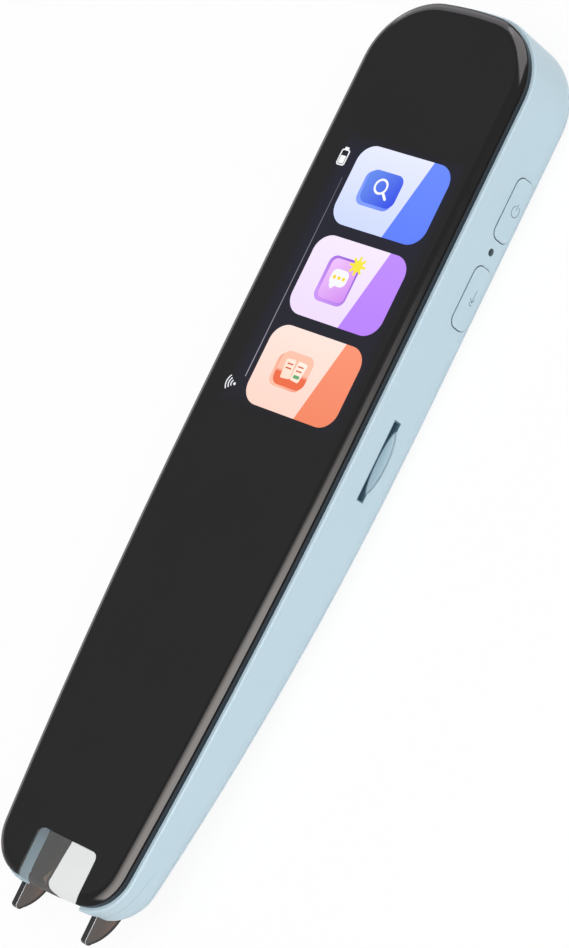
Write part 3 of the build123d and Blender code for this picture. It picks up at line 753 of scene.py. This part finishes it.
def outline_of_glass():
    """Flat face with the cover glass's outline, its window notch filled."""
    glass = copy_of_node("front_glass", "cover_glass")
    near, far = notch_inside
    shape_where(glass, "FACE", lambda face: face.normal.z > -0.99)
    bpy.ops.mesh.delete(type="FACE")
    shape_where(glass, "VERT", lambda point: abs(point.co.x) < (window_half + 0.1) * MM
                and near * MM < point.co.y < far * MM)
    bpy.ops.mesh.delete(type="VERT")
    shape_where(glass, "VERT", lambda point: abs(point.co.x) < (window_half + 0.05) * MM
                and point.co.y < notch_ends * MM)
    bpy.ops.mesh.edge_face_add()
    bpy.ops.mesh.select_all(action="SELECT")
    bpy.ops.mesh.edge_face_add()
    bpy.ops.mesh.normals_make_consistent(inside=False)
    leave_edit()
    return glass


def round_rim(glass):
    """Raises the outline and steps it inwards along the rim's round."""
    edit_all(glass)
    bpy.ops.mesh.extrude_region_move(TRANSFORM_OT_translate={
        "value": (0, 0, (glass_edge - glass_under) * MM)})
    bpy.ops.mesh.select_all(action="SELECT")
    bpy.ops.mesh.normals_make_consistent(inside=False)
    drop = glass_top - glass_edge
    radius = (rim_width ** 2 + drop ** 2) / (2 * drop)
    steepest = math.asin(rim_width / radius)
    shape_where(glass, "FACE", lambda face: face.center.z > (glass_edge - 0.01) * MM)
    for step in range(rim_steps):
        low, high = (steepest * (1 - (step + i) / rim_steps) for i in (0, 1))
        bpy.ops.mesh.inset(thickness=radius * (math.sin(low) - math.sin(high)) * MM,
                           depth=radius * (math.cos(high) - math.cos(low)) * MM)
    leave_edit()


def lean_over(piece, lowest):
    """Shifts a piece sideways, the more the higher above the glass's underside."""
    for vertex in piece.data.vertices:
        vertex.co.x += window_lean * max(vertex.co.z - glass_under * MM, lowest * MM)


def make_cover_glass():
    glass = outline_of_glass()
    round_rim(glass)
    notch = plate("notch", 0, notch_middle, (glass_under - notch_past, glass_top + notch_past),
                  2 * window_half, notch_length, notch_corner)
    lean_over(notch, -notch_past)
    cut_away(glass, notch)
    even_normals(glass)
    finish_piece(glass, finishes["black_glass"])
    glass.data.materials.append(finishes["seal_black"])
    glass.data.materials.append(finishes["glass_face"])
    for face in glass.data.polygons:
        if abs(face.normal.z) < 0.1 and face.center.z < glass_edge * MM:
            face.material_index = 1
        # The flat face takes the finish with the painted reflection
        elif face.normal.z > 0.9999:
            face.material_index = 2
    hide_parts("front_glass")


def make_window():
    window = copy_of_node("sight_window", "window_insert")
    shape_where(window, "VERT", lambda point: point.co.z > (glass_under + 0.02) * MM)
    bpy.ops.transform.resize(value=(1, 1, (glass_top - glass_under) / (body_top - glass_under)),
                             center_override=(0, 0, glass_under * MM))
    leave_edit()
    lean_over(window, 0)
    even_normals(window)
    finish_piece(window, finishes["clear_window"])
    window.data.materials.append(finishes["seal_black"])
    for face in window.data.polygons:
        upright = abs(face.normal.z) < 0.9 and face.center.z > glass_under * MM
        if upright and face.normal.y > -0.3:
            face.material_index = 1
    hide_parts("sight_window")


def make_feet():
    """The feet with their edges outside the nose rounded, for the painted highlight lines along
    them.
    """
    feet = copy_of_node("scan_foot", "scan_feet")

    def along_foot(edge):
        a, b = ends_of(feet, edge)
        return min(a.y, b.y) < foot_edges * MM and abs(a.x - b.x) < 0.01 * MM

    shape_where(feet, "EDGE", along_foot)
    bpy.ops.mesh.bevel(offset=foot_round * MM, segments=2, affect="EDGES")
    leave_edit()
    even_normals(feet)
    finish_piece(feet, finishes["smoke_plastic"], "scan_foot")
    feet.data.materials.append(finishes["smoke_edge"])
    feet.data.materials.append(finishes["pale_edge"])
    for face in feet.data.polygons:
        # Painted shade: faces across the fins, their tops, bottoms and ends, take the opaque
        # near-black
        if abs(face.normal.x) < 0.1:
            face.material_index = 1
        # Rounded edges facing up take the painted highlight, those facing down the painted shade
        elif abs(face.normal.x) < 0.9:
            face.material_index = 2 if face.normal.z > 0.3 else 1
    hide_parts("scan_foot")


def make_spring():
    """The foot's spring: a merged copy of the solid, in steel, with a mesh of its own."""
    spring = copy_of_node("foot_spring", "coil_spring")
    even_normals(spring)
    finish_piece(spring, finishes["steel"])
    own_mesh(spring)
    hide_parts("foot_spring")


# Picture on the cover glass


def srgb(*levels):
    """Colour as shown on a screen, 0 to 255, turned into light."""
    return tuple(((v / 255 + 0.055) / 1.055) ** 2.4 if v > 10 else v / 255 / 12.92 for v in levels)


def lit(name, draw):
    """A finish that gives light of the colour that a function draws, under the glass's gloss."""
    material, tree, shader, place = start_material(name)
    colour = draw(tree, place)
    tree.links.new(colour, shader.inputs["Emission Color"])
    shader.inputs["Emission Strength"].default_value = 1.0
    dark = mix_colour(tree, 0.97, colour, (0.0, 0.0, 0.0))
    tree.links.new(dark, shader.inputs["Base Color"])
    shader.inputs["Specular IOR Level"].default_value = face_shine
    tree.links.new(uneven_gloss(tree, place, 0.04, 0.03), shader.inputs["Roughness"])
    return material


def away_from(tree, place, x, y):
    """How far across and along the glass from a point, in millimetres."""
    away = in_millimetres(tree, vector_math(tree, "SUBTRACT", place, (x * MM, y * MM, 0)))
    return axis_of(tree, away, 0), axis_of(tree, away, 1)


def tile_colours(light, pale, strong, deep, x, y):
    """Two tones parted by a slanted line, each with a soft drift along the tile."""
    def draw(tree, place):
        across, along = away_from(tree, place, x, y)
        slant = add_math(tree, "MULTIPLY", along, tile_slant)
        slant = add_math(tree, "SUBTRACT", across, slant)
        left = mix_colour(tree, ramp(tree, along, -tile_drift, tile_drift), light, pale)
        right = mix_colour(tree, ramp(tree, along, tile_drift, -tile_drift), strong, deep)
        return mix_colour(tree, ramp(tree, slant, *tile_parting), left, right)
    return draw


def slope_colours(first, second, x, y, reach, turn=45):
    """One tone passing into another across a piece."""
    def draw(tree, place):
        across, along = away_from(tree, place, x, y)
        along = add_math(tree, "MULTIPLY", along, math.sin(math.radians(turn)))
        across = add_math(tree, "MULTIPLY", across, math.cos(math.radians(turn)))
        slope = ramp(tree, add_math(tree, "ADD", across, along), -reach, reach)
        return mix_colour(tree, slope, srgb(*first), srgb(*second))
    return draw


def field_colours(tree, place):
    """The unlit part of the display, which fades into the glass's own black at its edges."""
    ways = away_from(tree, place, *field_middle)
    inside = add_math(tree, "MINIMUM", *(ramp(tree, add_math(tree, "ABSOLUTE", way), *fade)
                                         for way, fade in zip(ways, field_fade)))
    black = mix_colour(tree, ramp(tree, ways[1], -20, 20), *field_tones)
    return mix_colour(tree, inside, field_edge, black)


def on_screen(piece, material):
    return finish_piece(piece, material)


def light_up(piece, name, *slope):
    """Gives a piece a lit finish of its own, which passes from one tone into another."""
    return on_screen(piece, lit(name, slope_colours(*slope)))


def outline_plate(name, x, y, layer, width, length, corner, line):
    """Rounded frame: a plate with its middle cut out."""
    low, high = layer
    piece = plate(name, x, y, layer, width, length, corner)
    inner = plate("inner", x, y, (low - 0.1, high + 0.1), width - 2 * line, length - 2 * line,
                  corner - line)
    return cut_away(piece, inner)


def arc_stroke(name, x, y, layer, radius, line, turns=()):
    """Flat ring, cut down to the part between two directions, counter-clockwise from +X."""
    deselect()
    bpy.ops.mesh.primitive_torus_add(location=(x * MM, y * MM, 0), major_radius=radius * MM,
                                     minor_radius=line * MM / 2, major_segments=64,
                                     minor_segments=8)
    piece = bpy.context.object
    piece.name = name
    place_in_mesh(piece)
    squeeze(piece, *layer)
    for turn, keep_after in zip(turns, (True, False)):
        angle = math.radians(turn)
        edit_all(piece)
        bpy.ops.mesh.bisect(plane_co=(x * MM, y * MM, 0),
                            plane_no=(-math.sin(angle), math.cos(angle), 0), use_fill=True,
                            clear_inner=keep_after, clear_outer=not keep_after,
                            threshold=0.0001 * MM)
        leave_edit()
    return piece


def squeeze(piece, low, high):
    """Flattens a piece between two heights."""
    pick(piece)
    heights = [vertex.co.z for vertex in piece.data.vertices]
    bottom, top = min(heights), max(heights)
    for vertex in piece.data.vertices:
        share = (vertex.co.z - bottom) / (top - bottom)
        vertex.co.z = (low + share * (high - low)) * MM


def make_field_and_tiles():
    field = plate("screen_field", *field_middle, field_layer, *field_size, field_corner)
    on_screen(field, lit("screen_dark", field_colours))
    for name, tones in tile_tones.items():
        y = tile_places[name]
        tile = plate("tile_" + name, tile_x, y, tile_layer, *tile_size, tile_corner, 14)
        tones = (srgb(*tone) for tone in tones)
        on_screen(tile, lit("tile_" + name, tile_colours(*tones, tile_x, y)))


def make_find_icon(x, y, white):
    """Magnifier on a blue block."""
    shade = plate("find_shade", x - 0.3, y - 0.3, shade_layer, 6.5, 5.3, 1.3)
    light_up(shade, "find_shade", (132, 160, 255), (84, 114, 240), x, y, 3.0)
    base = plate("find_base", x + 0.1, y + 0.1, icon_layer, 6.3, 5.1, 1.3)
    light_up(base, "find_base", (104, 142, 238), (62, 84, 232), x, y, 3.4, -30)
    ring = arc_stroke("find_ring", x - 0.2, y + 0.4, glyph_layer, 1.05, 0.34)
    handle = plate("find_handle", x + 1.02, y - 0.82, glyph_layer, 1.5, 0.42, 0.2, turn=-45)
    on_screen(joined("find_glyph", [ring, handle]), white)


def make_talk_icon(x, y, white):
    """Speech bubble on a violet card, with a star at its corner."""
    star_x, star_y = x + 2.3, y + 2.75
    shade = plate("talk_shade", x + 0.1, y - 0.1, shade_layer, 5.8, 7.0, 1.3)
    light_up(shade, "talk_shade", (204, 150, 246), (150, 96, 216), x, y, 3.2)
    base = plate("talk_base", x + 0.25, y, icon_layer, 4.9, 6.1, 1.0)
    light_up(base, "talk_base", (240, 196, 252), (214, 148, 244), x, y, 3.4, -40)
    bubble = plate("talk_bubble", x + 0.2, y + 0.35, page_layer, 3.1, 2.5, 0.9)
    tail = plate("talk_tail", x - 0.5, y - 0.9, page_layer, 0.8, 0.8, 0.1, turn=45)
    on_screen(joined("talk_glyph", [bubble, tail]), white)
    dots = [plate("dot", x + 0.2 + step, y + 0.35, glyph_layer, 0.56, 0.56, 0.27, 6)
            for step in (-0.85, 0.0, 0.85)]
    rays = [plate("ray", star_x, star_y, ray_layer, 0.4, 2.9, 0.15, turn=turn)
            for turn in (0, 45, 90, 135)]
    disc = plate("disc", star_x, star_y, glyph_layer, 1.7, 1.7, 0.84, 10)
    light_up(joined("talk_dots", dots + rays + [disc]), "screen_yellow",
             (255, 198, 34), (246, 232, 70), x, y, 3)


def make_book_icon(x, y):
    """Open book on an orange block."""
    shade = plate("book_shade", x - 0.3, y - 0.3, shade_layer, 6.1, 5.0, 1.3)
    light_up(shade, "book_shade", (255, 190, 166), (232, 112, 80), x, y, 3.0)
    base = plate("book_base", x + 0.1, y + 0.1, icon_layer, 5.9, 5.1, 1.3)
    light_up(base, "book_base", (238, 112, 76), (252, 196, 172), x, y - 0.4, 0.25, 90)
    pages = [plate("page", x + 0.1 + side, y + 0.1, page_layer, 1.75, 2.9, 0.3, turn=side * -6)
             for side in (1, -1)]
    light_up(joined("book_pages", pages), "screen_peach", (255, 222, 200), (255, 242, 230), x, y, 2)
    lines = [plate("line", x + 0.1 + side, y + 0.1 + step, glyph_layer, 1.1, 0.22, 0.1)
             for side in (1, -1) for step in (0.75, 0.1)]
    light_up(joined("book_lines", lines), "screen_rust", (206, 96, 66), (226, 120, 88), x, y, 2)
    mark = plate("book_mark", x + 1.1, y - 0.65, glyph_layer, 1.1, 0.5, 0.15)
    light_up(mark, "screen_green", (84, 150, 96), (120, 186, 128), x, y, 2)


def make_side_signs(white):
    """Battery and signal signs beside the tiles, with a fine rule between them."""
    x, y = battery_place
    case = outline_plate("battery_case", x, y - 0.05, tile_layer, 1.55, 2.5, 0.4, 0.2)
    nub = plate("battery_nub", x, y + 1.36, tile_layer, 0.75, 0.32, 0.1)
    level = plate("battery_level", x, y - 0.4, tile_layer, 0.95, 1.2, 0.1)
    on_screen(joined("battery_sign", [case, nub, level]), white)
    arcs = [arc_stroke("arc", *signal_place, tile_layer, radius, 0.2, (138, 222))
            for radius in (0.62, 1.08, 1.55)]
    dot = plate("dot", *signal_place, tile_layer, 0.44, 0.44, 0.21, 5)
    on_screen(joined("signal_sign", arcs + [dot]), white)
    rule = plate("side_rule", *rule_place, rule_layer, 0.15, 31.2, 0.07, 3)
    light_up(rule, "screen_grey", (164, 160, 174), (88, 86, 98), *rule_place, 16, 90)


def make_screen():
    white = lit("screen_white", slope_colours((236, 238, 246), (255, 255, 255), 0, 26, 20))
    make_field_and_tiles()
    make_find_icon(icon_x, tile_places["blue"] + 0.3, white)
    make_talk_icon(icon_x, tile_places["violet"] + 0.2, white)
    make_book_icon(icon_x, tile_places["orange"] + 0.1)
    make_side_signs(white)


make_cover_glass()
make_window()
make_feet()
make_spring()
make_screen()


# Studio


def add_camera():
    back = -camera_forward
    up = -camera_down
    turn = [[camera_right[i], up[i], back[i]] for i in range(3)]
    bpy.ops.object.camera_add(location=camera_place, rotation=Matrix(turn).to_euler())
    camera = bpy.context.object
    camera.data.sensor_width = camera_sensor
    camera.data.lens = camera_lens
    camera.data.clip_start = camera_near
    camera.data.shift_x = camera_shift
    bpy.context.scene.camera = camera


def add_lamp(name, place, target, size, radiance, tone=None):
    """Lamp of an even brightness. A toned one shows only in gloss, a plain one in all but gloss."""
    bpy.ops.object.light_add(type="AREA", location=place)
    lamp = bpy.context.object
    lamp.name = name
    lamp.rotation_euler = (Vector(place) - Vector(target)).to_track_quat("Z", "Y").to_euler()
    lamp.data.shape = "RECTANGLE"
    lamp.data.size, lamp.data.size_y = size
    lamp.data.energy = radiance * math.pi * size[0] * size[1]
    lamp.data.color = tone or (1, 1, 1)
    lamp.visible_camera = False
    lamp.visible_glossy = tone is not None
    lamp.visible_diffuse = lamp.visible_transmission = tone is None


def add_rim_lamps():
    """Overlapping lamps, each wider and shorter than the last, for a highlight that fades out."""
    for step in range(rim_lamps):
        reach, length, tail_end = (first + more * step
                                   for first, more in (rim_reach, rim_length, rim_tail))
        middle = rim_run * (rim_end - reach / 2) + Vector((0, tail_end - length / 2, 0))
        place = rim_place + middle + rim_facing * rim_stagger * step
        add_lamp("rim", place, place - rim_facing, (length, reach), rim_radiance, warm_white)


def sum_of_rays(tree, *kinds):
    """1 where the light comes by one of these kinds of ray, else 0."""
    path = tree.nodes.new("ShaderNodeLightPath")
    total = path.outputs[f"Is {kinds[0]} Ray"]
    for kind in kinds[1:]:
        total = add_math(tree, "ADD", total, path.outputs[f"Is {kind} Ray"], clamp=True)
    return total


def add_floor():
    """Pale floor that takes soft shadows and shows mostly its own even light."""
    deselect()
    bpy.ops.mesh.primitive_plane_add(size=floor_size, location=(0, 0, -floor_drop))
    floor = bpy.context.object
    floor.name = "floor"
    material = bpy.data.materials.new("floor")
    material.use_nodes = True
    tree = material.node_tree
    tree.nodes.clear()
    output = tree.nodes.new("ShaderNodeOutputMaterial")
    paper = tree.nodes.new("ShaderNodeBsdfDiffuse")
    paper.inputs["Color"].default_value = (floor_white, floor_white, floor_white, 1)
    glow = tree.nodes.new("ShaderNodeEmission")
    seen = sum_of_rays(tree, "Camera", "Glossy", "Transmission")
    mixed = tree.nodes.new("ShaderNodeMixShader")
    tree.links.new(add_math(tree, "MULTIPLY", seen, floor_glow), mixed.inputs[0])
    tree.links.new(paper.outputs[0], mixed.inputs[1])
    tree.links.new(glow.outputs[0], mixed.inputs[2])
    tree.links.new(mixed.outputs[0], output.inputs["Surface"])
    floor.data.materials.append(material)


def set_world():
    """Even white sky, brighter to the camera and through clear plastic."""
    world = bpy.data.worlds.new("studio")
    bpy.context.scene.world = world
    world.use_nodes = True
    tree = world.node_tree
    tree.nodes.clear()
    output = tree.nodes.new("ShaderNodeOutputWorld")
    sky = tree.nodes.new("ShaderNodeBackground")
    sky.inputs["Color"].default_value = (1, 1, 1, 1)
    strength = sky_level
    for kind, level in (("Transmission", sky_passed), ("Camera", sky_seen)):
        more = add_math(tree, "MULTIPLY", sum_of_rays(tree, kind), level)
        strength = add_math(tree, "ADD", more, strength)
    tree.links.new(strength, sky.inputs["Strength"])
    tree.links.new(sky.outputs[0], output.inputs["Surface"])


add_camera()
add_floor()
set_world()
add_lamp("key", (0.45, -0.1, 0.9), (0, 0, 0), (0.9, 0.9), 2.2)
add_lamp("side", (0.8, -0.05, 0.2), (0, 0, 0.01), (1.2, 0.35), 1.0)
add_rim_lamps()
add_lamp("tail", (0.01, 0.46, 0.325), (0, 0.07, 0.015), (0.44, 0.5), 4.2, pink_white)
add_lamp("left", (-0.5, 0.05, 0.06), (0, 0, 0.014), (0.6, 0.1), 1.6, (1, 1, 1))
add_lamp("back", (-0.34, 0.42, 0.2), (0, 0.07, 0.015), (0.4, 0.38), 2.0, cool_pink)

bpy.context.scene.view_settings.view_transform = "Standard"
